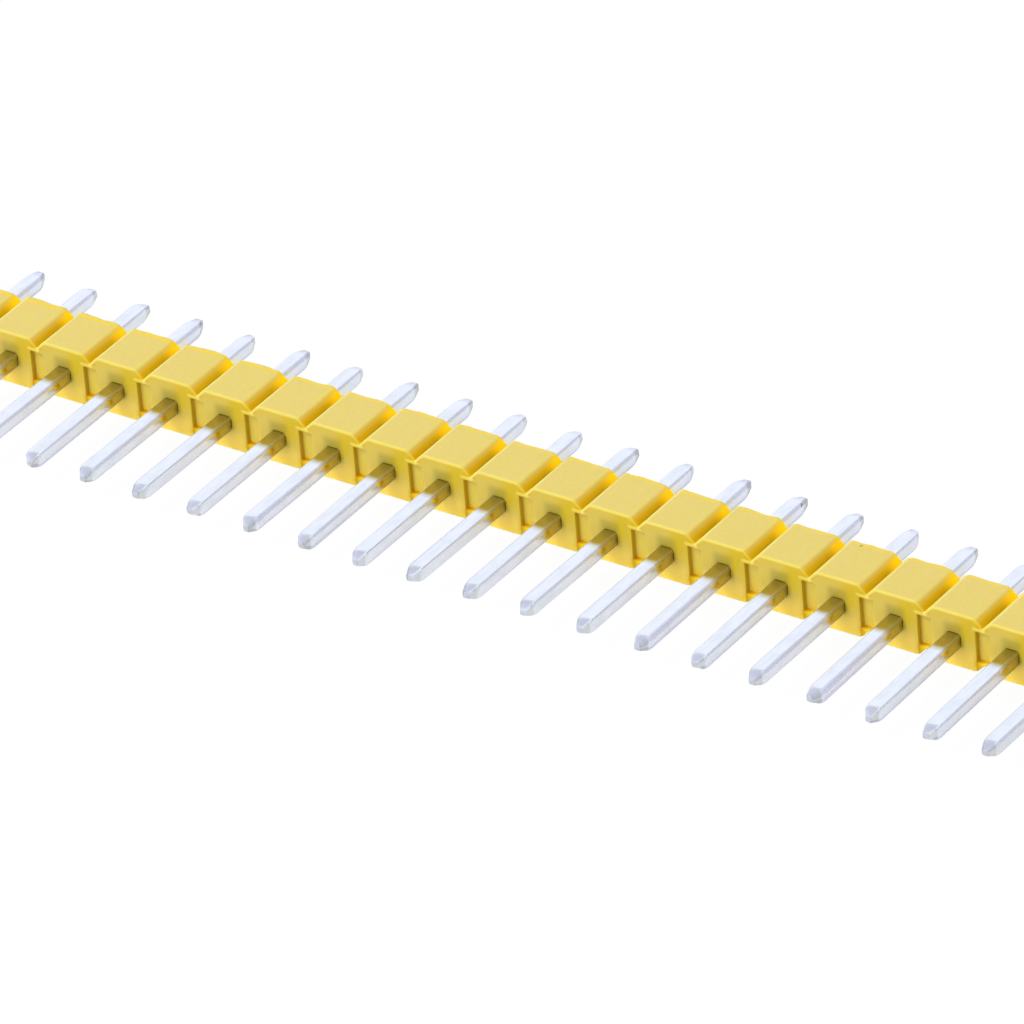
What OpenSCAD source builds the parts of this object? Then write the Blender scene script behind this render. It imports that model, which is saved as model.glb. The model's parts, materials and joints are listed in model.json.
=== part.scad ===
// Single-row breakaway pin header strip.
// The row runs along X and the posts along Y. The long mating ends point to -Y and
// the short solder tails to +Y. The strip lies on one long side of its housing.
// The origin is the middle of the face that seats on the board, level with the posts.
// All sizes are in millimetres.

/* [Row] */
// Number of positions in the strip
positions = 40; // [2:1:40]
// Distance from one post to the next
pitch = 2.54; // [2.2:0.01:3]

/* [Housing] */
// Thickness of the housing along the posts
body_depth = 2.6; // [1.6:0.05:4]
// Width of the housing across the row
body_width = 2.36; // [2:0.02:3]
// Width of a V score where it opens on the long side
score_width = 0.68; // [0.4:0.02:0.9]
// Depth of a V score
score_depth = 0.36; // [0.2:0.02:0.45]
// Width of the relief pocket in the mating face between two blocks
relief_width = 0.56; // [0.3:0.02:0.6]
// Depth of the relief pocket
relief_depth = 0.22; // [0.1:0.01:0.5]
// Web left between the bottom of a score and the end of a relief pocket
score_web = 0.19; // [0.1:0.01:0.3]

/* [Posts] */
// Side of the square post
post_width = 0.64; // [0.5:0.01:0.7]
// Width of the flat broken along each long edge of a post, measured along a side
edge_break = 0.04; // [0.02:0.01:0.08]
// Length of the mating end beyond the housing
mating_length = 6; // [3:0.1:12]
// Length of the solder tail beyond the housing
tail_length = 3; // [2:0.1:6]
// Length of the point on the mating end
mating_point = 0.45; // [0.2:0.05:1]
// Length of the point on the solder tail
tail_point = 0.55; // [0.2:0.05:1]
// Side of the square flat that is left on each end
tip_flat = 0.28; // [0.1:0.02:0.4]

/* [Fit] */
// Clearance around a post at both mouths of its hole
mouth_clearance = 0.04; // [0.02:0.01:0.08]
// Depth of the wider mouth of the hole
mouth_depth = 0.3; // [0.1:0.05:0.6]
// Clearance around a post in the gripping part of its hole
grip_clearance = 0; // [0:0.01:0.02]

/* [Hidden] */
solder_face = 0;
mating_face = solder_face - body_depth;
// Cutters pass this far through a face that they open
overcut = 1;

function post_name(i) = str("pin_", i < 10 ? "0" : "", i);
function post_x(i) = (i - (positions + 1) / 2) * pitch;
// Plane between block i and block i + 1, where the strip is broken apart
function break_x(i) = post_x(i) + pitch / 2;

// One long side of the strip, with half a score at each end of every block.
// side is 1 for the top and -1 for the bottom, and points run from -X to +X.
function scored_side(side) =
    let(
        surface = side * body_width / 2,
        bottom = side * (body_width / 2 - score_depth)
    )
    [
        for (i = [1 : positions])
            each [
                [break_x(i - 1), bottom],
                [break_x(i - 1) + score_width / 2, surface],
                [break_x(i) - score_width / 2, surface]
            ],
        [break_x(positions), bottom]
    ];

function reversed(points) = [for (i = [len(points) - 1 : -1 : 0]) points[i]];

// Side view of a post, lengthwise along its first coordinate, pointed at both ends
function post_outline() =
    let(
        half = post_width / 2,
        flat = tip_flat / 2,
        front = mating_face - mating_length,
        back = solder_face + tail_length
    )
    [
        [front, -flat],
        [front + mating_point, -half],
        [back - tail_point, -half],
        [back, -flat],
        [back, flat],
        [back - tail_point, half],
        [front + mating_point, half],
        [front, flat]
    ];

// Cross-section of a post, with its four long edges broken
function post_section() =
    let(
        half = post_width / 2,
        flat = half - edge_break
    )
    [
        [-flat, -half],
        [flat, -half],
        [half, -flat],
        [half, flat],
        [flat, half],
        [-flat, half],
        [-half, flat],
        [-half, -flat]
    ];

// Extrudes an outline drawn in X and Z along Y, from y = from to y = to
module extrude_y(from, to) {
    translate([0, to, 0])
        rotate([90, 0, 0])
            linear_extrude(height = to - from)
                children();
}

// Square tunnel around post i, from y = from to y = to
module post_tunnel(i, clearance, from, to) {
    side = post_width + 2 * clearance;
    translate([post_x(i) - side / 2, from, -side / 2])
        cube([side, to - from, side]);
}

module post_hole(i) {
    post_tunnel(i, grip_clearance, mating_face - overcut, solder_face + overcut);
    post_tunnel(i, mouth_clearance, mating_face - overcut, mating_face + mouth_depth);
    post_tunnel(i, mouth_clearance, solder_face - mouth_depth, solder_face + overcut);
}

module relief_pocket(i) {
    height = body_width - 2 * (score_depth + score_web);
    translate([break_x(i) - relief_width / 2, mating_face - overcut, -height / 2])
        cube([relief_width, overcut + relief_depth, height]);
}

module housing() {
    color([0.93, 0.79, 0.29])
        difference() {
            extrude_y(mating_face, solder_face)
                polygon(concat(scored_side(-1), reversed(scored_side(1))));
            for (i = [1 : positions]) post_hole(i);
            for (i = [0 : positions]) relief_pocket(i);
        }
}

// The plan and the side view share one outline, so each point has four equal slopes
module post(i) {
    color([0.86, 0.87, 0.89])
        translate([post_x(i), 0, 0])
            intersection() {
                extrude_y(mating_face - mating_length, solder_face + tail_length)
                    polygon(post_section());
                rotate([0, 0, 90])
                    linear_extrude(height = post_width, center = true)
                        polygon(post_outline());
                rotate([90, 0, 90])
                    linear_extrude(height = post_width, center = true)
                        polygon(post_outline());
            }
}

housing();
for (i = [1 : positions]) post(i);
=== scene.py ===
"""Models and finishes a breakaway pin header strip around its frame.

The housing is a moulded strip of scored blocks, and the posts are tin-plated wire.
Shapes are modelled in millimetres and brought to metres at the end of each piece.
"""

import json
import math
import random

import bmesh
import bpy
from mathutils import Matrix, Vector

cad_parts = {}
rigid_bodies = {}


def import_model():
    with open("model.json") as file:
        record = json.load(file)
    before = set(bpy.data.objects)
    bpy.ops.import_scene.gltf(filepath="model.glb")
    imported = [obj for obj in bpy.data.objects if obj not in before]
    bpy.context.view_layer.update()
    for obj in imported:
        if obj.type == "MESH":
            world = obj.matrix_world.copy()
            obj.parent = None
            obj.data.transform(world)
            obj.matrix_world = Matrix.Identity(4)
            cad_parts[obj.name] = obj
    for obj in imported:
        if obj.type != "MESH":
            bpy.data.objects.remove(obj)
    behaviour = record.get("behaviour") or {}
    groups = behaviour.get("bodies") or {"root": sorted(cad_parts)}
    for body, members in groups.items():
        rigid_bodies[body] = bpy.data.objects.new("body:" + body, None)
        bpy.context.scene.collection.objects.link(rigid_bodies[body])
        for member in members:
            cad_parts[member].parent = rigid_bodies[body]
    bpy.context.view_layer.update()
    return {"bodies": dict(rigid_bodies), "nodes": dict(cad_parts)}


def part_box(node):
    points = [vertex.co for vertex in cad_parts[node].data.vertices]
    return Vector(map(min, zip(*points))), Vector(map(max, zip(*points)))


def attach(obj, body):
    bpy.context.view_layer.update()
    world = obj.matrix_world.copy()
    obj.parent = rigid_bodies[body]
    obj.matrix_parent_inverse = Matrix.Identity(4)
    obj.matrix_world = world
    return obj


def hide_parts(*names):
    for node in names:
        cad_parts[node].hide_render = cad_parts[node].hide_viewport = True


bl_info = {
    "name": "Pin Header Strip",
    "version": (1, 0, 0),
    "blender": (4, 5, 0),
    "location": "3D View > Sidebar > Header",
    "description": "Models a scored header housing, its plated posts and a plain studio",
    "category": "Object",
}

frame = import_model()

MM = 0.001
POST_NODES = sorted(name for name in frame["nodes"] if name.startswith("pin_"))
BODY = next(iter(frame["bodies"]))


def box_mm(node):
    """Lowest and highest corners of a frame node, in millimetres."""
    low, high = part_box(node)
    return low / MM, high / MM


def centre_mm(node):
    low, high = box_mm(node)
    return (low + high) / 2


HOUSING_LOW, HOUSING_HIGH = box_mm("housing")
MATING_FACE, SEAT_FACE, TOP = HOUSING_LOW.y, HOUSING_HIGH.y, HOUSING_HIGH.z
POST_LOW, POST_HIGH = box_mm(POST_NODES[0])
MATING_END, TAIL_END = POST_LOW.y, POST_HIGH.y
FIRST_POST = centre_mm(POST_NODES[0]).x
PITCH = centre_mm(POST_NODES[1]).x - FIRST_POST
HALF_PITCH = PITCH / 2

# How much less a post measures across than the hole that grips it in the frame
POST_SLACK = 0.03
POST_SIDE = POST_HIGH.z - POST_LOW.z - POST_SLACK
# How far inside the housing's two faces a post is free to lean
ROOT_DEPTH = 0.3
MATING_ROOT = MATING_FACE + ROOT_DEPTH
TAIL_ROOT = SEAT_FACE - ROOT_DEPTH

# Points this close to a cut lie on it
ON_CUT = 1e-5
# Places this close are the same, as modelled, and after a bevel or a join
SAME = 1e-4
JOINED = 1e-3
# An edge under this length is a sliver
SLIVER = 2e-3
# An edge between two faces is sharp from this angle on
SHARP_FROM = math.radians(50)
FAULTS_SEED = 11
# The faces of a post's end, its rounding included, lie this close to where it ends
END_REACH = 0.08

# A speck in the moulding, and two spots on the tails that the plate missed
SPECK_ON_BLOCK = (centre_mm("pin_25").x - 0.38, SEAT_FACE - 0.25, TOP)
BARE_SPOTS = (
    (centre_mm("pin_12").x + POST_SIDE / 2, TAIL_END - 0.28, 0.22),
    (centre_mm("pin_23").x + POST_SIDE / 2, TAIL_END - 0.60, 0.20),
)

# The stage is laid out in metres
FLOOR_WIDTH = 6
PANEL_WIDTH = 0.32
PANEL_PLACE = Vector((-0.35, -0.55, 0.76)) * 0.6
# Directions of the two darker parts of the studio
DARK_RIGHT = (0.71, 0.69, 0.15)
DARK_ABOVE = (-0.35, 0.05, 0.93)


def coordinate(name, description, millimetres, **limits):
    """A place along an axis that a user can change, shown in the scene's units."""
    return bpy.props.FloatProperty(
        name=name,
        description=description,
        default=millimetres * MM,
        precision=6,
        subtype="DISTANCE",
        unit="LENGTH",
        **limits,
    )


def length(name, description, millimetres):
    return coordinate(name, description, millimetres, min=0)


def angle(name, description, degrees):
    return bpy.props.FloatProperty(
        name=name,
        description=description,
        default=math.radians(degrees),
        subtype="ANGLE",
        unit="ROTATION",
    )


def factor(name, description, value):
    return bpy.props.FloatProperty(
        name=name, description=description, default=value, min=0, subtype="FACTOR"
    )


def colour(name, description, value):
    return bpy.props.FloatVectorProperty(
        name=name,
        description=description,
        default=value,
        min=0,
        max=1,
        size=3,
        subtype="COLOR",
    )


class HeaderHousingSettings(bpy.types.PropertyGroup):
    """Sizes and colours of the moulded housing."""

    score_width: length("Score Width", "Width of a V score at the surface", 0.68)
    score_depth: length("Score Depth", "Depth of a V score", 0.36)
    relief_width: length("Relief Width", "Width of a relief pocket between blocks", 0.56)
    relief_depth: length("Relief Depth", "Depth of a relief pocket", 0.22)
    relief_offset: length("Relief Offset", "How far a pocket is off the break, to -X", 0.03)
    relief_drop: length("Relief Drop", "How much further a pocket goes down than up", 0.1)
    score_web: length("Score Web", "Web between the upper score and a relief pocket", 0.19)
    slope_radius: length("Slope Radius", "Rounding between the top and a score", 0.12)
    edge_radius: length("Edge Radius", "Rounding of the front edges", 0.08)
    back_chamfer: length("Back Chamfer", "Chamfer of the back edges before they wear", 0.03)
    wear_reach: length("Wear Reach", "About how far a worn back edge reaches inwards", 0.16)
    wear_depth: length("Wear Depth", "About how far a worn back edge drops", 0.05)
    lip_radius: length("Lip Radius", "Rounding above a relief pocket", 0.03)
    relief_radius: length("Relief Radius", "Rounding beside a relief pocket", 0.045)
    relief_fillet: length("Relief Fillet", "Rounding on a relief pocket's other side", 0.12)
    mouth_radius: length("Mouth Radius", "Rounding of the holes' rims", 0.02)
    mouth_corner: length("Mouth Corner", "Rounding of the four corners of a hole", 0.14)
    mouth_clearance: length("Mouth Clearance", "Gap around a post at its hole", 0.01)
    mouth_depth: length("Mouth Depth", "Depth of the wider mouth of a hole", 0.3)
    plastic: colour("Plastic", "Colour of the moulded plastic", (0.82, 0.62, 0.125))
    # Painted shade: the mating face, and more so beside a score, are deeper copies of the plastic,
    # as they catch less sheen than the top
    front: colour("Front", "Colour of the mating face", (0.84, 0.625, 0.09))
    golden: colour("Golden", "Colour of the mating face beside a score", (0.83, 0.585, 0.028))
    # Painted highlight along the blocks' front and top edges and over the pockets
    edge_highlight: colour("Edge Highlight", "Colour along the blocks' edges", (1.0, 0.82, 0.18))
    # Painted glow along the bottom of a block and on the web below a pocket, as of light from below
    lower_edge_glow: colour("Lower Edge", "Colour along the bottom of a block", (1.0, 0.74, 0.03))
    glow: colour("Glow", "Colour of thin plastic with light in it", (1.0, 0.66, 0.002))
    lit_through: colour("Lit Through", "Light that passes thin plastic", (0.24, 0.13, 0.005))
    lit_below: colour("Lit Below", "Light that passes up through the plastic", (0.28, 0.18, 0.03))
    # Painted light on a relief pocket's floor
    relief_floor: colour("Relief Floor", "Colour of a relief pocket's floor", (1.0, 0.75, 0.06))
    # Painted shade in the lower inner corner of a relief pocket
    ledge: colour("Ledge", "Colour in the lower corner of a relief pocket", (0.62, 0.30, 0.0))
    speck: colour("Speck", "Colour of a speck in the plastic", (0.22, 0.11, 0.02))
    # Painted shade: down in a score, on a relief pocket's walls and along the bottom of a score
    recess: colour("Recess", "Colour down in a score", (0.84, 0.51, 0.002))
    deep_recess: colour("Deep Recess", "Colour of a relief pocket's walls", (0.56, 0.36, 0.001))
    score_line: colour("Score Line", "Colour along the bottom of a score", (0.36, 0.24, 0.01))
    shade: colour("Shade", "Colour round a post where it leaves", (0.53, 0.40, 0.045))


class HeaderPostSettings(bpy.types.PropertyGroup):
    """Sizes and colours of the plated posts."""

    edge_radius: length("Edge Radius", "Rounding of a post's long edges", 0.08)
    mating_point: length("Mating Point", "Length of the point on a mating end", 0.45)
    tail_point: length("Tail Point", "Length of the point on a solder tail", 0.55)
    tip_flat: length("Tip Flat", "Side of the flat on a mating end", 0.28)
    tail_flat: length("Tail Flat", "Side of the flat on a solder tail", 0.34)
    shoulder_radius: length("Shoulder Radius", "Rounding where a point begins", 0.14)
    tip_radius: length("Tip Radius", "Rounding of the sheared ends", 0.05)
    tip_wander: length("Tip Wander", "Most that an end is off its post's middle, each way", 0.04)
    tip_shortfall: length("Tip Shortfall", "Most that an end is short, besides its slant", 0.04)
    tip_slant: angle("Tip Slant", "Most that a sheared end is off square, on each axis", 10)
    bend: angle("Bend", "Most that a post leans at the housing, on each axis", 0.5)
    plate: colour("Plate", "Colour of the tin plate", (0.87, 0.89, 0.95))
    # Painted darker reflection along the rolled edges and on the points; the same colour marks the
    # flecks
    edge_tint: colour("Edge Tint", "Colour of the rolled edges", (0.76, 0.76, 0.93))
    # Painted reflection of the mating face on a post next to it: on its top, its side and its
    # rolled edges
    by_housing: colour("By Housing", "Colour next to the mating face", (0.50, 0.44, 0.19))
    beside_housing: colour("Beside Housing", "The same on a post's side", (0.54, 0.46, 0.16))
    rolled_by_housing: colour("Rolled By Housing", "The same on an edge", (0.48, 0.38, 0.09))
    # Painted shade on the right side of a point
    point_side: colour("Point Side", "Colour of a point's right side", (0.62, 0.63, 0.57))
    # Painted reflection of the housing on a solder tail's side
    by_back: colour("By Back", "Colour of a solder tail's side at the housing", (0.92, 0.86, 0.55))
    sheared: colour("Sheared", "Colour of the cut metal on the ends", (0.50, 0.52, 0.54))
    bare: colour("Bare", "Colour of a spot that the plate missed", (0.10, 0.10, 0.12))


class HeaderStageSettings(bpy.types.PropertyGroup):
    """Place of the camera, and strength of the studio light."""

    azimuth: angle("Azimuth", "Turn of the camera from the mating side", 36.19)
    elevation: angle("Elevation", "Height of the camera over the horizon", 32.11)
    roll: angle("Roll", "Turn of the camera about its own axis", -4.63)
    distance: length("Distance", "From the camera to the point it looks at", 441.15)
    aim_along: coordinate("Aim Along", "Where on the row the camera looks", -3.04)
    aim_across: coordinate("Aim Across", "The same along a post, from the mating face", -0.245)
    lens: bpy.props.FloatProperty(
        name="Lens",
        description="Focal length of the camera on a 36 mm sensor",
        default=409.6,
        min=1,
        subtype="DISTANCE_CAMERA",
    )
    world_light: factor("World Light", "Strength of the light from all sides", 0.76)
    key_light: factor("Key Light", "Light of the soft panel on a face turned to it", 0.34)


class BlockPlaces:
    """Sizes and places of one block, in millimetres.

    Places are from the middle of its post. The panel is the stretch of the mating face
    that the pockets leave standing.
    """

    def __init__(self, sizes):
        self.score_half = sizes.score_width / MM / 2
        self.score_start = HALF_PITCH - self.score_half
        self.score_depth = sizes.score_depth / MM
        self.score_floor = TOP - self.score_depth
        self.relief_half = sizes.relief_width / MM / 2
        self.relief_depth = sizes.relief_depth / MM
        self.relief_offset = sizes.relief_offset / MM
        self.relief_top = self.score_floor - sizes.score_web / MM
        self.relief_bottom = -self.relief_top - sizes.relief_drop / MM
        self.panel_start = self.relief_half - self.relief_offset - HALF_PITCH
        self.panel_end = HALF_PITCH - self.relief_half - self.relief_offset
        self.mouth = POST_SIDE / 2 + sizes.mouth_clearance / MM


# ---------------------------------------------------------------- shader nodes


class Wire:
    """A node's output, on which Python arithmetic adds Math nodes."""

    def __init__(self, nodes, socket):
        self.nodes = nodes
        self.socket = socket

    def _math(self, operation, *values):
        settings = {"operation": operation}
        return self.nodes.add("ShaderNodeMath", settings, dict(enumerate(values)))

    def __add__(self, other):
        return self._math("ADD", self, other)

    def __radd__(self, other):
        return self._math("ADD", other, self)

    def __sub__(self, other):
        return self._math("SUBTRACT", self, other)

    def __rsub__(self, other):
        return self._math("SUBTRACT", other, self)

    def __mul__(self, other):
        return self._math("MULTIPLY", self, other)

    def __rmul__(self, other):
        return self._math("MULTIPLY", other, self)

    def __truediv__(self, other):
        return self._math("DIVIDE", self, other)

    def __abs__(self):
        return self._math("ABSOLUTE", self)

    def fraction(self):
        return self._math("FRACT", self)

    def larger(self, other):
        return self._math("MAXIMUM", self, other)

    def ramp(self, low, high, shape="LINEAR"):
        """0 below low and 1 above high, with a line of this shape between them."""
        settings = {"interpolation_type": shape}
        inputs = {"Value": self, "From Min": low, "From Max": high}
        return self.nodes.add("ShaderNodeMapRange", settings, inputs)

    def rising(self, low, high):
        """0 below low and 1 above high, with a smooth step between them."""
        return self.ramp(low, high, "SMOOTHSTEP")

    def falling(self, low, high):
        return 1 - self.rising(low, high)

    def within(self, start, full, still_full, end):
        """Rises from start to full, and falls from still_full to end."""
        return self.rising(start, full) * self.falling(still_full, end)

    def around(self, middle, close, far):
        """1 while this close to the middle, and 0 from far on."""
        return abs(self - middle).falling(close, far)


class Nodes:
    """Adds nodes to a node tree."""

    def __init__(self, owner):
        owner.use_nodes = True
        self.tree = owner.node_tree

    def feed(self, socket, value):
        """Links a wire to a socket or sets its value, with alpha 1 for a colour."""
        if isinstance(value, Wire):
            self.tree.links.new(value.socket, socket)
        elif socket.type == "RGBA":
            socket.default_value = (*value, 1)
        else:
            socket.default_value = value

    def add(self, kind, settings=None, inputs=None, output=0):
        """Adds a node, applies its settings, then fills its inputs, by name or index."""
        node = self.tree.nodes.new(kind)
        for name, value in (settings or {}).items():
            setattr(node, name, value)
        for name, value in (inputs or {}).items():
            self.feed(node.inputs[name], value)
        return Wire(self, node.outputs[output])

    def vector(self, operation, inputs, output=0):
        return self.add("ShaderNodeVectorMath", {"operation": operation}, inputs, output)

    def axes(self, vector):
        first = self.add("ShaderNodeSeparateXYZ", inputs={0: vector})
        return [Wire(self, output) for output in first.socket.node.outputs]

    def rays(self):
        """Two masks: the camera's own rays, and rays that a surface mirrors."""
        names = ("Is Camera Ray", "Is Glossy Ray")
        return [self.add("ShaderNodeLightPath", output=name) for name in names]

    def noise(self, vector, scale, detail, roughness=0.5):
        """Even noise round 0.5."""
        return self.add(
            "ShaderNodeTexNoise",
            inputs={"Vector": vector, "Scale": scale, "Detail": detail, "Roughness": roughness},
        )

    def blend(self, mask, first, second):
        """The first colour where mask is 0, and the second where it is 1."""
        settings = {"data_type": "RGBA", "blend_type": "MIX"}
        return self.add("ShaderNodeMix", settings, {0: mask, 6: first, 7: second}, output=2)

    def layered(self, base, *layers):
        """Lays colours over a base in this order, each where its own mask is 1."""
        for mask, tint in layers:
            base = self.blend(mask, base, tint)
        return base


class WorldNodes(Nodes):
    """Builds the light from all sides."""

    def towards(self, direction):
        """1 in this direction, and less away from it."""
        seen = self.add("ShaderNodeTexCoord", output="Generated")
        unit = tuple(Vector(direction).normalized())
        return self.vector("DOT_PRODUCT", {0: seen, 1: unit}, "Value")


class MaterialNodes(Nodes):
    """Builds one material around its Principled shader."""

    def __init__(self, name):
        self.material = bpy.data.materials.new(name)
        super().__init__(self.material)
        self.shader = self.tree.nodes["Principled BSDF"]

    def place(self):
        """Object coordinates in millimetres."""
        coordinates = self.add("ShaderNodeTexCoord", output="Object")
        return self.vector("SCALE", {0: coordinates, "Scale": 1 / MM})

    def patch(self, place, centre, radius):
        """1 round the centre, and 0 from radius on."""
        apart = self.vector("DISTANCE", {0: place, 1: centre}, "Value")
        return apart.falling(radius * 0.3, radius)

    def stretched(self, vector, scale):
        return self.vector("MULTIPLY", {0: vector, 1: scale})

    def bump(self, height, strength, distance, normal=None):
        inputs = {"Height": height, "Strength": strength, "Distance": distance}
        if normal is not None:
            inputs["Normal"] = normal
        return self.add("ShaderNodeBump", inputs=inputs)

    def surface(self, **inputs):
        for name, value in inputs.items():
            self.feed(self.shader.inputs[name.replace("_", " ")], value)
        return self.material


# ---------------------------------------------------------------- the two finishes
#
# A mask is a wire that is 1 where a colour lies and fades to 0 over a stretch, whose two
# ends are given in millimetres from an edge or from the middle of a block.


def from_nearest(distance):
    """How far a distance along the row is from the nearest whole number of pitches."""
    return (distance / PITCH + 0.5).fraction() * PITCH - HALF_PITCH


class OnBlock:
    """Where a shaded point lies in its own block, as wires."""

    def __init__(self, nodes):
        self.nodes = nodes
        self.place = nodes.place()
        self.x, self.y, self.z = nodes.axes(self.place)
        self.along = from_nearest(self.x - FIRST_POST)


class OnHousing(OnBlock):
    """Where a shaded point lies from the edges, scores and pockets of the housing."""

    def __init__(self, nodes, block):
        super().__init__(nodes)
        self.block = block
        self.level = abs(self.z)
        self.from_front = self.y - MATING_FACE
        self.from_back = SEAT_FACE - self.y
        self.front_face = self.from_front.falling(0.0, 0.12)
        self.to_break = HALF_PITCH - abs(self.along)
        self.in_relief = from_nearest(self.along + block.relief_offset - HALF_PITCH)
        self.to_relief = abs(self.in_relief)
        outline = block.score_floor + block.score_depth * self.to_break.ramp(0, block.score_half)
        self.under_outline = outline - self.level

    def scores(self):
        """The slopes of the scores, the line along their bottoms, and their back ends."""
        floor = self.block.score_floor
        slopes = self.to_break.falling(0.10, self.block.score_half + 0.03)
        slopes = slopes * self.level.rising(floor - 0.06, floor + 0.02)
        line = slopes * self.to_break.falling(0.0, 0.06)
        line = line * self.from_front.rising(0.2, 0.8) * self.from_back.rising(0.4, 1.2)
        return slopes, line, slopes * self.from_back.falling(0.10, 1.15)

    def pockets(self):
        """The walls and floors of the pockets, the web below them, and its inner corner."""
        half, depth = self.block.relief_half, self.block.relief_depth
        top, bottom = self.block.relief_top, self.block.relief_bottom
        beside = self.z.falling(top - 0.03, top + 0.01) * self.z.rising(bottom, bottom + 0.04)
        shadowed = self.in_relief.around(-half, 0.03, 0.07)
        shadowed = shadowed * self.from_front.within(0.0, 0.05, 0.17, 0.26)
        other = self.in_relief.around(half, 0.03, 0.07)
        other = other * self.from_front.within(0.1, 0.15, 0.16, 0.24)
        walls = shadowed.larger(other * 0.6) * beside
        floors = self.to_relief.falling(half - 0.08, half - 0.03) * beside
        floors = floors * self.from_front.rising(depth - 0.06, depth - 0.02)
        web = self.to_relief.falling(half - 0.02, half + 0.07)
        web = web * self.from_front.falling(depth - 0.04, depth + 0.04)
        web = web * self.z.falling(bottom, bottom + 0.08)
        corner = self.in_relief + half + 1.2 * (depth - self.from_front)
        return walls, floors, web, web * corner.falling(0.14, 0.60)

    def mating_face(self):
        """Painted light and shade on the mating face: golden beside a score, lit from below, and in
        the shade round a post.
        """
        half = self.block.relief_half
        golden = self.along.rising(-0.2, 0.5) * self.z.rising(-0.5, 0.4)
        golden = golden.larger(self.z.rising(0.7, 1.0) * 0.4)
        lit = self.along.falling(0.70, 1.0).larger(self.z.falling(-1.05, -0.8) * 0.8)
        lit = lit * self.z.falling(-0.85, -0.05)
        lit = lit * self.to_relief.rising(half - 0.03, half + 0.03)
        shade = abs(self.along).falling(0.24, 0.58) * self.z.around(0.25, 0.30, 0.66)
        return [mask * self.front_face for mask in (golden, lit, shade)]

    def edge_highlights(self):
        """Painted highlights: pale lines along the front and top edges, and the lips over the
        pockets.
        """
        block = self.block
        left_end = self.along.falling(-0.95, -0.80)
        near_outline = self.under_outline - 0.07 * left_end
        front = self.from_front.falling(0.03, 0.14) * near_outline.falling(0.02, 0.13)
        front = front * (1 - 0.5 * self.along.rising(0.85, 1.0))
        over_pocket = abs(self.z - block.relief_top - 0.12)
        beads = (abs(self.in_relief - 0.06) * 0.8 + over_pocket).falling(0.05, 0.16)
        lips = self.in_relief.around(-0.17, 0.14, 0.30) * over_pocket.falling(0.02, 0.10) * 0.8
        lips = lips.larger(beads) * self.from_front.falling(0.03, 0.12)
        top = self.to_break.around(block.score_half, 0.03, 0.13)
        top = top * self.level.rising(TOP - 0.08, TOP)
        top = top * (0.35 + 0.65 * self.along.falling(-0.1, 0))
        edges = (front * 0.62).larger(lips * 0.7).larger(top * 0.9)
        return edges.larger(front * left_end * 0.9), lips

    def worn_edge_glow(self):
        """Painted glow in a band inside the uneven back edges, stronger and further in towards one
        end of the row.
        """
        uneven = self.nodes.noise(self.nodes.stretched(self.place, (1.3, 0.2, 0.2)), 1.0, 2.0)
        worn_end = self.x.falling(-24, -10)
        from_worn_edge = self.from_back + 0.24 * (uneven - 0.5) - 0.07 * worn_end
        edges = from_worn_edge.within(0.03, 0.12, 0.17, 0.27)
        edges = edges * self.under_outline.falling(0.08, 0.16)
        return edges * (0.35 + 1.1 * uneven + 0.6 * worn_end)


def moulded_plastic(sizes):
    """Satin yellow plastic, deeper in its recesses by painted shade and lighter along its edges by
    painted highlights.
    """
    nodes = MaterialNodes("moulded_yellow")
    at = OnHousing(nodes, BlockPlaces(sizes))
    slopes, score_line, slope_ends = at.scores()
    walls, floors, web, web_corner = at.pockets()
    golden, lit_below, shade = at.mating_face()
    edge_highlights, lips = at.edge_highlights()
    # Painted glow along the bottom edges of the mating face
    bottom_edges = at.under_outline.falling(0.05, 0.45) * at.z.falling(-0.6, -0.4)
    bottom_edges = bottom_edges * at.from_front.falling(0.1, 0.3)

    speckle = nodes.noise(at.place, 7.0, 3.0)
    paler = tuple(min(1, part * 1.02 + 0.005) for part in sizes.plastic)
    body = nodes.layered(
        sizes.plastic,
        (speckle.rising(0.35, 0.65), paler),
        # painted shade on the mating face, deeper beside a score
        (at.front_face, sizes.front),
        (golden, sizes.golden),
        (shade * 0.7, sizes.shade),
        # painted shade down in the scores, deepest at their bottoms
        (slopes * 0.96, sizes.recess),
        (slopes * at.to_break.falling(0.0, 0.22) * 0.3, sizes.deep_recess),
        (score_line * 0.45, sizes.score_line),
        (slope_ends, sizes.glow),
        # painted glow inside the worn back edges
        (at.worn_edge_glow() * 0.8, sizes.glow),
        (bottom_edges * 0.6, sizes.lower_edge_glow),
        # painted light on the pockets' floors
        (floors * 0.6, sizes.relief_floor),
        # painted shade on the pockets' walls
        (walls * 0.9, sizes.deep_recess),
        # painted glow on the web below the pockets
        (web, sizes.lower_edge_glow),
        # painted shade in the pockets' lower inner corners
        (web_corner, sizes.ledge),
        # painted highlights along the edges and the lips
        (edge_highlights, sizes.edge_highlight),
        (nodes.patch(at.place, SPECK_ON_BLOCK, 0.10) * 0.6, sizes.speck),
    )
    lit_through = nodes.layered(
        (0.0, 0.0, 0.0),
        (slope_ends.larger(web * 0.35).larger(lips * 0.6), sizes.lit_through),
        (lit_below, sizes.lit_below),
    )

    grain = nodes.noise(at.place, 26.0, 4.0, 0.6)
    waves = nodes.noise(at.place, 1.6, 2.0)
    relief = nodes.bump(waves, 0.05, 0.02 * MM)
    relief = nodes.bump(grain + speckle * 0.5, 0.06, 0.002 * MM, relief)
    return nodes.surface(
        Base_Color=body,
        Roughness=0.34 + 0.08 * speckle,
        Normal=relief,
        Subsurface_Weight=0.5,
        Subsurface_Radius=(1.0, 0.6, 0.06),
        Subsurface_Scale=0.35 * MM,
        Specular_IOR_Level=0.0,
        Coat_Weight=0.9 * (1 - slopes.larger(walls).larger(web)),
        Coat_Roughness=0.3,
        Emission_Color=lit_through,
        Emission_Strength=1.0,
    )


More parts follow.
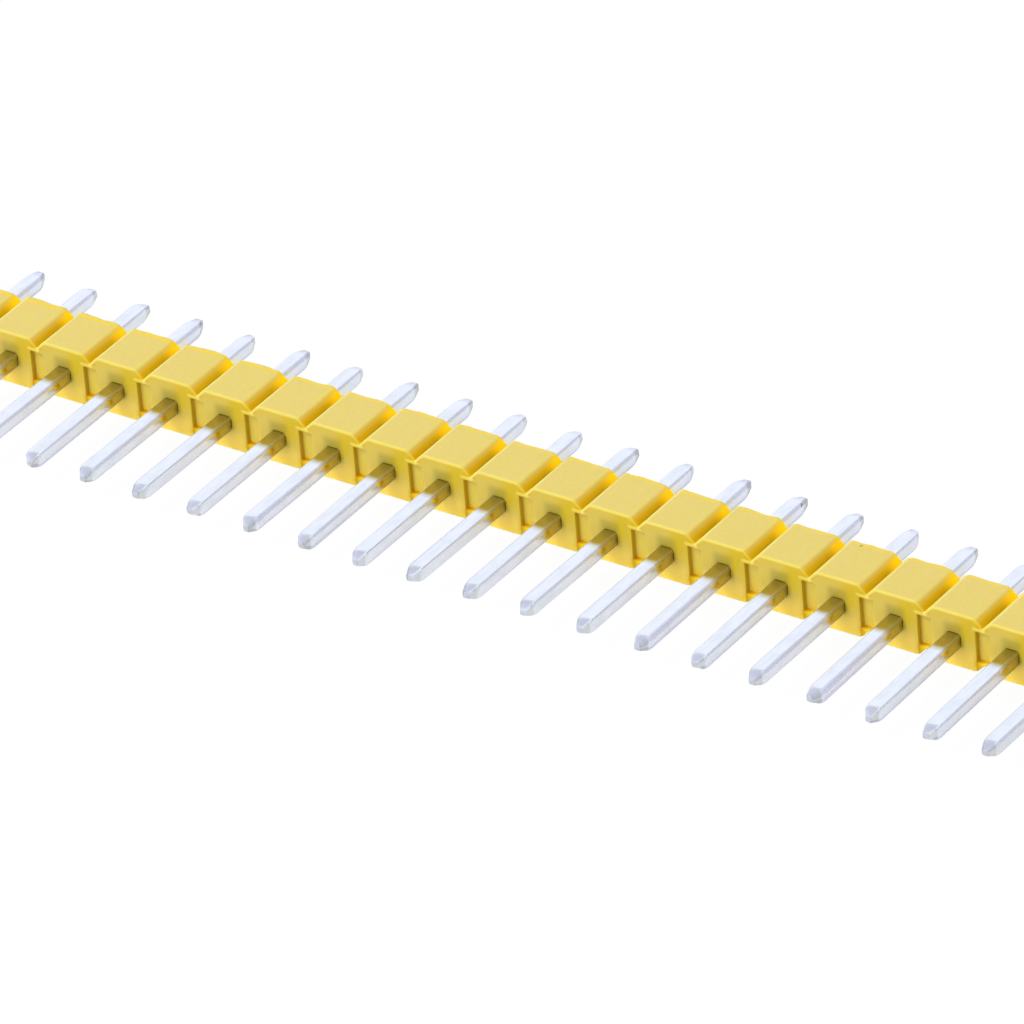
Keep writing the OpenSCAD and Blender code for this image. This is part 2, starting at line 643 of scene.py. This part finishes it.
class OnPost(OnBlock):
    """Where a shaded point lies from the ends, edges and sides of a post."""

    def __init__(self, nodes, sizes):
        super().__init__(nodes)
        mating_point = 1 - (self.y - MATING_END).ramp(0, sizes.mating_point / MM)
        tail_point = 1 - (TAIL_END - self.y).ramp(0, sizes.tail_point / MM)
        across = POST_SIDE - (POST_SIDE - sizes.tip_flat / MM) * mating_point
        across = across - (POST_SIDE - sizes.tail_flat / MM) * tail_point
        radius = sizes.edge_radius / MM
        # 0 on a long edge, and rising faster across the top of a post than down its side
        inside_corner = across - 1.4 * abs(self.along) - 0.6 * abs(self.z)
        self.rolled = inside_corner.falling(radius * 0.8, radius * 1.4)
        self.points = mating_point.larger(tail_point).rising(0.0, 0.35)
        self.right_side = self.along.rising(0.27, 0.31)

    def sheared(self):
        """The two cut ends."""
        mating = self.y.falling(MATING_END + 0.06, MATING_END + 0.11)
        return mating.larger(self.y.rising(TAIL_END - 0.11, TAIL_END - 0.06))

    def by_mating_face(self, sizes):
        """The stretch of a post where a reflection of the mating face is painted, and its colours.
        """
        out = MATING_FACE - self.y
        further = 0.10 + 0.15 * self.z.falling(-0.3, 0.2)
        mask = (out + self.right_side * further).falling(0.92, 1.4) * out.rising(-0.1, 0)
        edge = self.rolled * self.along.rising(0.0, 0.1) * out.falling(0.3, 0.9)
        tint = self.nodes.layered(
            sizes.by_housing,
            (self.right_side * out.rising(0.1, 0.7), sizes.beside_housing),
            (edge * 0.8, sizes.rolled_by_housing),
        )
        return mask * 0.95, tint

    def by_seat_face(self):
        """The side of a solder tail, where a reflection of the housing is painted."""
        out = self.y - SEAT_FACE
        return self.right_side * out.within(0, 0.1, 0.9, 2.0)


def tin_plate(sizes):
    """Bright plate with drawn lines along the wire, with painted darker reflections on the rolled
    edges and painted reflections of the housing, and darker sheared ends.
    """
    nodes = MaterialNodes("drawn_tin_plate")
    at = OnPost(nodes, sizes)
    points, rolled, sheared = at.points, at.rolled, at.sheared()
    drawn = nodes.noise(nodes.stretched(at.place, (22.0, 0.7, 22.0)), 1.0, 3.0)
    smears = nodes.noise(nodes.stretched(at.place, (3.0, 1.1, 3.0)), 1.0, 2.0)
    flecks = nodes.noise(at.place, 9.0, 4.0, 0.65)

    duller = tuple(part * 0.93 for part in sizes.plate)
    # Painted shade on the points, darker on their right side
    right_of_point = (at.along - abs(at.z)).rising(-0.1, 0.1)
    point_tint = nodes.blend(right_of_point, sizes.edge_tint, sizes.point_side)
    first_spot, second_spot = (nodes.patch(at.place, spot, 0.12) for spot in BARE_SPOTS)
    body = nodes.layered(
        sizes.plate,
        (smears.rising(0.35, 0.7), duller),
        # painted darker reflection along the rolled edges, more on their right
        (rolled * (0.3 + 0.3 * at.along.rising(-0.1, 0.1)), sizes.edge_tint),
        (flecks.rising(0.64, 0.72) * 0.35, sizes.edge_tint),
        # painted reflection of the mating face
        at.by_mating_face(sizes),
        (points * 0.6, point_tint),
        (points * rolled * 0.5, sizes.sheared),
        (sheared * (0.1 + 0.5 * flecks), sizes.sheared),
        # painted reflection of the housing on the tails
        (at.by_seat_face() * 0.6, sizes.by_back),
        (first_spot.larger(second_spot) * 0.7, sizes.bare),
    )
    relief = nodes.bump(drawn, 0.2, 0.003 * MM)
    relief = nodes.bump(flecks, 0.3 * sheared + 0.04, 0.02 * MM, relief)
    return nodes.surface(
        Base_Color=body,
        Metallic=1.0,
        Roughness=0.09 + 0.08 * smears + 0.5 * rolled.larger(points * 0.4) + 0.1 * sheared,
        Normal=relief,
    )


# ---------------------------------------------------------------- modelling aids


def clear_selection():
    if bpy.context.mode != "OBJECT":
        bpy.ops.object.mode_set(mode="OBJECT")
    bpy.ops.object.select_all(action="DESELECT")


def make_active(piece):
    clear_selection()
    piece.select_set(True)
    bpy.context.view_layer.objects.active = piece


def add_cube(low_y, high_y, width, height):
    """Adds a box that runs from low_y to high_y along the posts, and starts to edit it."""
    clear_selection()
    bpy.ops.mesh.primitive_cube_add(size=1, location=(0, (low_y + high_y) / 2, 0))
    piece = bpy.context.object
    piece.scale = (width, high_y - low_y, height)
    bpy.ops.object.transform_apply(location=True, rotation=True, scale=True)
    bpy.ops.object.mode_set(mode="EDIT")
    return piece


def pick(kind, test):
    """In edit mode, selects just the faces, edges or points that pass the test."""
    bpy.ops.mesh.select_mode(type=kind)
    bpy.ops.mesh.select_all(action="DESELECT")
    mesh = bpy.context.object.data
    shape = bmesh.from_edit_mesh(mesh)
    shape.normal_update()
    parts = {"FACE": shape.faces, "EDGE": shape.edges, "VERT": shape.verts}[kind]
    passed = [part for part in parts if test(part)]
    if not passed:
        raise RuntimeError(f"{mesh.name} has nothing to pick as {kind}")
    for part in passed:
        part.select_set(True)
    shape.select_flush_mode()
    bmesh.update_edit_mesh(mesh)


def pick_faces(test):
    """test takes a face's middle and its normal."""
    pick("FACE", lambda face: test(face.calc_center_median(), face.normal))


def pick_edges(test):
    """test takes an edge's two ends."""
    pick("EDGE", lambda edge: test(*(corner.co for corner in edge.verts)))


def pick_points(test):
    pick("VERT", lambda point: test(point.co))


def near(first, second, slack=SAME):
    return abs(first - second) < slack


def anywhere(centre, normal):
    return True


def cut(test, at, normal, **options):
    """Bisects the picked faces with a plane."""
    pick_faces(test)
    bpy.ops.mesh.bisect(plane_co=at, plane_no=normal, threshold=ON_CUT, **options)


def bevel_edges(test, offset, segments):
    """Rounds the picked edges by a length that is a setting, in metres."""
    pick_edges(test)
    bpy.ops.mesh.bevel(
        offset=offset / MM,
        offset_type="OFFSET",
        segments=segments,
        profile=0.5,
        affect="EDGES",
        clamp_overlap=False,
    )


def slide_picked(distance):
    """Extrudes the picked faces along the posts."""
    bpy.ops.mesh.extrude_region_move(TRANSFORM_OT_translate={"value": (0, distance, 0)})


def set_in_row(distance):
    """Moves the whole piece along the row, which ends its editing."""
    bpy.ops.mesh.select_all(action="SELECT")
    bpy.ops.transform.translate(value=(distance, 0, 0))
    bpy.ops.object.mode_set(mode="OBJECT")


def finish_piece(piece, material, replaced):
    """Brings a piece to metres, smooths it by angle and hangs it on the frame."""
    make_active(piece)
    bpy.ops.object.mode_set(mode="EDIT")
    bpy.ops.mesh.select_all(action="SELECT")
    bpy.ops.mesh.normals_make_consistent(inside=False)
    bpy.ops.transform.resize(value=(MM, MM, MM), center_override=(0, 0, 0))
    bpy.ops.object.mode_set(mode="OBJECT")
    piece.data.materials.clear()
    piece.data.materials.append(material)
    bpy.ops.object.shade_smooth_by_angle(angle=SHARP_FROM)
    weights = piece.modifiers.new("flat faces stay flat", "WEIGHTED_NORMAL")
    weights.keep_sharp = True
    bpy.ops.object.modifier_apply(modifier=weights.name)
    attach(piece, BODY)
    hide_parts(replaced)


# ---------------------------------------------------------------- the pieces


class HEADER_OT_housing(bpy.types.Operator):
    """Models one scored block, repeats it along the row and closes both ends"""

    bl_idname = "header.housing"
    bl_label = "Housing"
    bl_options = {"REGISTER", "UNDO"}

    def execute(self, context):
        sizes = context.scene.header_housing
        at = BlockPlaces(sizes)
        strip = add_cube(MATING_FACE, SEAT_FACE, PITCH, 2 * TOP)
        strip.name = strip.data.name = "housing_strip"
        self.cut_scores(at)
        self.sink_pockets(at)
        self.sink_holes(sizes, at)
        self.open_breaks()
        self.round_blocks(sizes, at)
        self.mark_back_edges(strip, sizes, at)
        self.round_pockets(sizes, at)
        self.repeat_along_row(strip)
        self.wear_back_edges(strip, sizes)
        self.close_ends()
        finish_piece(strip, moulded_plastic(sizes), "housing")
        return {"FINISHED"}

    def cut_scores(self, at):
        for side in (-1, 1):
            for level in (-1, 1):
                cut(
                    anywhere,
                    (side * at.score_start, 0, level * TOP),
                    (side * at.score_depth, 0, level * at.score_half),
                    clear_outer=True,
                    use_fill=True,
                )

    def sink_pockets(self, at):
        """Divides both faces along the pockets and the holes, then sinks the pockets."""

        def in_front(centre, normal):
            return normal.y < -0.9

        def in_band(centre, normal):
            return in_front(centre, normal) and at.relief_bottom < centre.z < at.relief_top

        def in_panel(centre, normal):
            return in_band(centre, normal) and at.panel_start < centre.x < at.panel_end

        def in_column(centre, normal):
            return in_panel(centre, normal) and abs(centre.x) < at.mouth

        def in_back(centre, normal):
            return normal.y > 0.9

        def in_back_band(centre, normal):
            return in_back(centre, normal) and abs(centre.z) < at.mouth

        for level in (at.relief_bottom, at.relief_top):
            cut(in_front, (0, 0, level), (0, 0, 1))
        for panel_side in (at.panel_start, at.panel_end):
            cut(in_band, (panel_side, 0, 0), (1, 0, 0))
        for mouth_side in (-at.mouth, at.mouth):
            cut(in_panel, (mouth_side, 0, 0), (1, 0, 0))
        for level in (-at.mouth, at.mouth):
            cut(in_column, (0, 0, level), (0, 0, 1))
        for level in (-at.mouth, at.mouth):
            cut(in_back, (0, 0, level), (0, 0, 1))
        for mouth_side in (-at.mouth, at.mouth):
            cut(in_back_band, (mouth_side, 0, 0), (1, 0, 0))
        pick_faces(
            lambda centre, normal: in_band(centre, normal) and not in_panel(centre, normal)
        )
        slide_picked(at.relief_depth)

    def sink_holes(self, sizes, at):
        """Sinks both mouths, then joins them through the block."""
        half, depth = at.mouth / 2, sizes.mouth_depth / MM

        def hole_face(face_y):
            return lambda centre, normal: (
                near(centre.y, face_y) and abs(centre.x) < half and abs(centre.z) < half
            )

        inner_faces = []
        for face_y, inward in ((MATING_FACE, 1), (SEAT_FACE, -1)):
            pick_faces(hole_face(face_y))
            slide_picked(inward * depth)
            bpy.ops.mesh.inset(thickness=sizes.mouth_clearance / MM)
            inner_faces.append(hole_face(face_y + inward * depth))
        first, second = inner_faces
        pick_faces(lambda centre, normal: first(centre, normal) or second(centre, normal))
        bpy.ops.mesh.bridge_edge_loops()

        def mouth_corner(a, b):
            corner = near(abs(a.x), at.mouth) and near(abs(a.z), at.mouth)
            return corner and near(a.x, b.x) and near(a.z, b.z)

        bevel_edges(mouth_corner, sizes.mouth_corner, segments=3)

    def open_breaks(self):
        """Opens the block to both sides, where it joins the next ones."""
        pick_faces(lambda centre, normal: near(abs(centre.x), HALF_PITCH))
        bpy.ops.mesh.delete(type="FACE")

    def round_blocks(self, sizes, at):
        def slope_edge(a, b):
            along_post = near(a.x, b.x) and near(a.z, b.z)
            return along_post and near(abs(a.x), at.score_start) and near(abs(a.z), TOP)

        def outline_edge(face_y):
            def test(a, b):
                outside = min(abs(a.z), abs(b.z)) > at.score_floor - JOINED
                return near(a.y, face_y) and near(b.y, face_y) and outside and not near(a.x, b.x)

            return test

        bevel_edges(slope_edge, sizes.slope_radius, segments=3)
        bevel_edges(outline_edge(MATING_FACE), sizes.edge_radius, segments=3)
        bevel_edges(outline_edge(SEAT_FACE), sizes.back_chamfer, segments=1)

    def mark_back_edges(self, strip, sizes, at):
        """Divides the back chamfers and keeps the points of their lines as groups."""
        chamfer = sizes.back_chamfer / MM
        flat_end = at.score_start - sizes.slope_radius / MM

        def in_chamfer(centre, normal):
            in_middle = near(centre.y, SEAT_FACE - chamfer / 2, JOINED)
            return in_middle and abs(centre.x) < flat_end

        steps = 4
        for step in range(1 - steps, steps):
            cut(in_chamfer, (flat_end * step / steps, 0, 0), (1, 0, 0))
        for side, level in (("upper", 1), ("lower", -1)):
            for line, line_y in (("inner", SEAT_FACE - chamfer), ("outer", SEAT_FACE)):

                def on_line(point):
                    beyond_hole = level * point.z > at.mouth + JOINED
                    inside_break = abs(point.x) < HALF_PITCH - JOINED
                    return beyond_hole and inside_break and near(point.y, line_y, JOINED)

                pick_points(on_line)
                strip.vertex_groups.new(name=f"{side} {line} line")
                bpy.ops.object.vertex_group_assign()

    def round_pockets(self, sizes, at):
        def at_front(a, b):
            return near(a.y, MATING_FACE) and near(b.y, MATING_FACE)

        def pocket_side(side):
            return lambda a, b: at_front(a, b) and near(a.x, side) and near(b.x, side)

        def pocket_top(a, b):
            outside = min(abs(a.x), abs(b.x)) > at.panel_end - sizes.relief_fillet / MM
            at_top = near(a.z, at.relief_top) and near(b.z, at.relief_top)
            return at_front(a, b) and outside and at_top

        def mouth_rim(a, b):
            at_face = near(a.y, b.y) and (near(a.y, MATING_FACE) or near(a.y, SEAT_FACE))
            reach = at.mouth + JOINED
            return at_face and all(max(abs(end.x), abs(end.z)) < reach for end in (a, b))

        bevel_edges(pocket_side(at.panel_end), sizes.relief_radius, segments=2)
        bevel_edges(pocket_side(at.panel_start), sizes.relief_fillet, segments=4)
        bevel_edges(pocket_top, sizes.lip_radius, segments=3)
        bevel_edges(mouth_rim, sizes.mouth_radius, segments=2)

    def repeat_along_row(self, strip):
        set_in_row(FIRST_POST)
        row = strip.modifiers.new("row", "ARRAY")
        row.count = len(POST_NODES)
        row.use_relative_offset = False
        row.use_constant_offset = True
        row.constant_offset_displace = (PITCH, 0, 0)
        row.use_merge_vertices = True
        row.merge_threshold = SAME
        bpy.ops.object.modifier_apply(modifier=row.name)

    def wear(self, strip, line, direction, reach):
        """Moves the points of a line unevenly, mostly by less than this reach."""
        pattern = bpy.data.textures.new(line, "CLOUDS")
        pattern.noise_scale = 0.8
        pattern.noise_depth = 2
        pattern.contrast = 2.6
        pattern.intensity = 0.8
        worn = strip.modifiers.new(line, "DISPLACE")
        worn.texture = pattern
        worn.vertex_group = line
        worn.direction = direction
        worn.mid_level = 0
        worn.strength = reach / MM
        bpy.ops.object.modifier_apply(modifier=worn.name)

    def wear_back_edges(self, strip, sizes):
        """Wears both lines of each back edge, then flattens what rose past the seat face."""
        self.wear(strip, "upper inner line", "Y", -sizes.wear_reach)
        self.wear(strip, "lower inner line", "Y", -sizes.wear_reach)
        self.wear(strip, "upper outer line", "Z", -sizes.wear_depth)
        self.wear(strip, "lower outer line", "Z", sizes.wear_depth)
        bpy.ops.object.mode_set(mode="EDIT")
        pick_points(lambda point: point.y > SEAT_FACE - SAME)
        bpy.ops.transform.resize(value=(1, 0, 1), center_override=(0, SEAT_FACE, 0))

    def close_ends(self):
        """Closes both ends of the row, and drops the slivers that this leaves."""
        for end in (HOUSING_LOW.x, HOUSING_HIGH.x):
            pick_edges(lambda a, b: near(a.x, end, JOINED) and near(b.x, end, JOINED))
            bpy.ops.mesh.edge_face_add()
        bpy.ops.mesh.select_all(action="SELECT")
        bpy.ops.mesh.dissolve_degenerate(threshold=SLIVER)
        bpy.ops.object.mode_set(mode="OBJECT")


class HEADER_OT_posts(bpy.types.Operator):
    """Models one pointed post, then copies it to every position with its own small faults"""

    bl_idname = "header.posts"
    bl_label = "Posts"
    bl_options = {"REGISTER", "UNDO"}

    def execute(self, context):
        sizes = context.scene.header_posts
        plate = tin_plate(sizes)
        pattern = self.model_post(sizes)
        draw = random.Random(FAULTS_SEED)
        for node in POST_NODES:
            make_active(pattern)
            bpy.ops.object.duplicate()
            post = context.object
            post.name = post.data.name = node.replace("pin", "post")
            bpy.ops.object.mode_set(mode="EDIT")
            self.shear_ends(sizes, draw)
            self.lean(sizes, draw)
            set_in_row(centre_mm(node).x)
            finish_piece(post, plate, node)
        bpy.data.objects.remove(pattern)
        return {"FINISHED"}

    def model_post(self, sizes):
        mating_shoulder = MATING_END + sizes.mating_point / MM
        tail_shoulder = TAIL_END - sizes.tail_point / MM
        post = add_cube(MATING_END, TAIL_END, POST_SIDE, POST_SIDE)
        for station in (mating_shoulder, MATING_ROOT, TAIL_ROOT, tail_shoulder):
            cut(anywhere, (0, station, 0), (0, 1, 0))
        for end, flat in ((MATING_END, sizes.tip_flat), (TAIL_END, sizes.tail_flat)):
            narrow = flat / MM / POST_SIDE
            pick_faces(lambda centre, normal: near(centre.y, end))
            bpy.ops.transform.resize(value=(narrow, 1, narrow), center_override=(0, end, 0))
        bevel_edges(lambda a, b: not near(a.y, b.y), sizes.edge_radius, segments=3)

        def shoulder_edge(shoulder):
            return lambda a, b: near(a.y, shoulder) and near(b.y, shoulder)

        def end_edge(a, b):
            return near(a.y, b.y) and (near(a.y, MATING_END) or near(a.y, TAIL_END))

        bevel_edges(shoulder_edge(mating_shoulder), sizes.shoulder_radius, segments=2)
        bevel_edges(shoulder_edge(tail_shoulder), sizes.shoulder_radius, segments=2)
        bevel_edges(end_edge, sizes.tip_radius, segments=2)
        bpy.ops.object.mode_set(mode="OBJECT")
        return post

    def shear_ends(self, sizes, draw):
        """Sets both ends a little off square, off middle and short."""
        wander = sizes.tip_wander / MM
        for end, inward in ((MATING_END, 1), (TAIL_END, -1)):
            pick_faces(lambda centre, normal: near(centre.y, end, END_REACH))
            slants = [draw.uniform(-sizes.tip_slant, sizes.tip_slant) for axis in "XZ"]
            for axis, slant in zip("XZ", slants):
                bpy.ops.transform.rotate(value=slant, orient_axis=axis, center_override=(0, end, 0))
            # A slanted flat would pass the end of the post by up to this much.
            clear = sizes.tail_flat / MM / 2 * sum(math.sin(abs(slant)) for slant in slants)
            short = clear + draw.uniform(0, sizes.tip_shortfall / MM)
            offset = (draw.uniform(-wander, wander), inward * short, draw.uniform(-wander, wander))
            bpy.ops.transform.translate(value=offset)

    def lean(self, sizes, draw):
        """Turns both ends a little about the places where they leave the housing."""
        for root, outward in ((MATING_ROOT, -1), (TAIL_ROOT, 1)):
            pick_points(lambda point: outward * (point.y - root) > JOINED)
            for axis in "XZ":
                bpy.ops.transform.rotate(
                    value=draw.uniform(-sizes.bend, sizes.bend),
                    orient_axis=axis,
                    center_override=(0, root, 0),
                )


class HEADER_OT_stage(bpy.types.Operator):
    """Adds the floor, the soft light and the camera"""

    bl_idname = "header.stage"
    bl_label = "Stage"
    bl_options = {"REGISTER", "UNDO"}

    def execute(self, context):
        stage = context.scene.header_stage
        self.add_floor()
        self.add_surroundings(context, stage)
        self.add_panel(context, stage)
        self.add_camera(context, stage)
        context.scene.view_settings.view_transform = "Standard"
        return {"FINISHED"}

    def add_floor(self):
        """Adds a floor that is white to the camera, but for a faint shadow."""
        clear_selection()
        bpy.ops.mesh.primitive_grid_add(
            x_subdivisions=2,
            y_subdivisions=2,
            size=FLOOR_WIDTH,
            location=(0, 0, HOUSING_LOW.z * MM),
        )
        floor = bpy.context.object
        floor.name = "floor"
        nodes = MaterialNodes("white_floor")
        nodes.surface(Base_Color=(0.86, 0.87, 0.87), Roughness=0.9, Specular_IOR_Level=0.1)
        glow = {"Color": (1.0, 1.0, 1.0), "Strength": 1.02}
        camera_ray, glossy_ray = nodes.rays()
        mixed = nodes.add(
            "ShaderNodeMixShader",
            inputs={
                0: camera_ray * 0.93 + glossy_ray * 0.35,
                1: Wire(nodes, nodes.shader.outputs[0]),
                2: nodes.add("ShaderNodeEmission", inputs=glow),
            },
        )
        nodes.feed(nodes.tree.nodes["Material Output"].inputs["Surface"], mixed)
        floor.data.materials.append(nodes.material)

    def add_surroundings(self, context, stage):
        """Adds even light from all sides, and darker parts that show only in reflections."""
        world = bpy.data.worlds.new("studio")
        context.scene.world = world
        nodes = WorldNodes(world)
        camera_ray, glossy_ray = nodes.rays()
        right = nodes.towards(DARK_RIGHT).rising(0.80, 0.97)
        above = nodes.towards(DARK_ABOVE).rising(0.75, 0.99)
        mirrored = 1.02 - 0.60 * right - 0.32 * above
        unseen = stage.world_light + glossy_ray * (mirrored - stage.world_light)
        background = nodes.tree.nodes["Background"]
        cool = nodes.blend(camera_ray, (0.96, 1.0, 1.07), (1.0, 1.0, 1.0))
        nodes.feed(background.inputs["Color"], cool)
        nodes.feed(background.inputs["Strength"], unseen + camera_ray * (1 - unseen))

    def add_panel(self, context, stage):
        """Adds a soft panel, whose key light is the same at any distance."""
        panel = bpy.data.lights.new("soft_panel", "AREA")
        panel.shape = "DISK"
        panel.size = PANEL_WIDTH
        panel.energy = stage.key_light * math.pi**2 * PANEL_PLACE.length_squared
        lamp = bpy.data.objects.new("soft_panel", panel)
        context.scene.collection.objects.link(lamp)
        lamp.visible_glossy = False
        lamp.location = PANEL_PLACE
        lamp.rotation_euler = (-PANEL_PLACE).to_track_quat("-Z", "Y").to_euler()

    def add_camera(self, context, stage):
        camera = bpy.data.objects.new("camera", bpy.data.cameras.new("camera"))
        context.scene.collection.objects.link(camera)
        context.scene.camera = camera
        camera.data.sensor_width = 36
        camera.data.lens = stage.lens
        camera.data.clip_start = 0.01
        camera.data.clip_end = 50
        aim = Vector((stage.aim_along, MATING_FACE * MM + stage.aim_across, 0))
        level = stage.distance * math.cos(stage.elevation)
        offset = Vector(
            (
                level * math.sin(stage.azimuth),
                -level * math.cos(stage.azimuth),
                stage.distance * math.sin(stage.elevation),
            )
        )
        camera.location = aim + offset
        camera.rotation_euler = (-offset).to_track_quat("-Z", "Y").to_euler()
        camera.rotation_euler.rotate_axis("Z", stage.roll)


class HEADER_PT_parts(bpy.types.Panel):
    """Lists the strip's pieces and the stage, with the sizes that shape them"""

    bl_idname = "HEADER_PT_parts"
    bl_label = "Pin Header Strip"
    bl_space_type = "VIEW_3D"
    bl_region_type = "UI"
    bl_category = "Header"

    def draw(self, context):
        groups = (
            (HEADER_OT_housing, context.scene.header_housing),
            (HEADER_OT_posts, context.scene.header_posts),
            (HEADER_OT_stage, context.scene.header_stage),
        )
        for operator, settings in groups:
            column = self.layout.column(align=True)
            column.operator(operator.bl_idname)
            for name in settings.__annotations__:
                column.prop(settings, name)


SETTINGS = {
    "header_housing": HeaderHousingSettings,
    "header_posts": HeaderPostSettings,
    "header_stage": HeaderStageSettings,
}
CLASSES = (
    *SETTINGS.values(),
    HEADER_OT_housing,
    HEADER_OT_posts,
    HEADER_OT_stage,
    HEADER_PT_parts,
)


def register():
    for item in CLASSES:
        bpy.utils.register_class(item)
    for name, group in SETTINGS.items():
        setattr(bpy.types.Scene, name, bpy.props.PointerProperty(type=group))


def unregister():
    for name in SETTINGS:
        delattr(bpy.types.Scene, name)
    for item in reversed(CLASSES):
        bpy.utils.unregister_class(item)


def main():
    register()
    bpy.ops.header.housing()
    bpy.ops.header.posts()
    bpy.ops.header.stage()


if __name__ == "__main__":
    main()
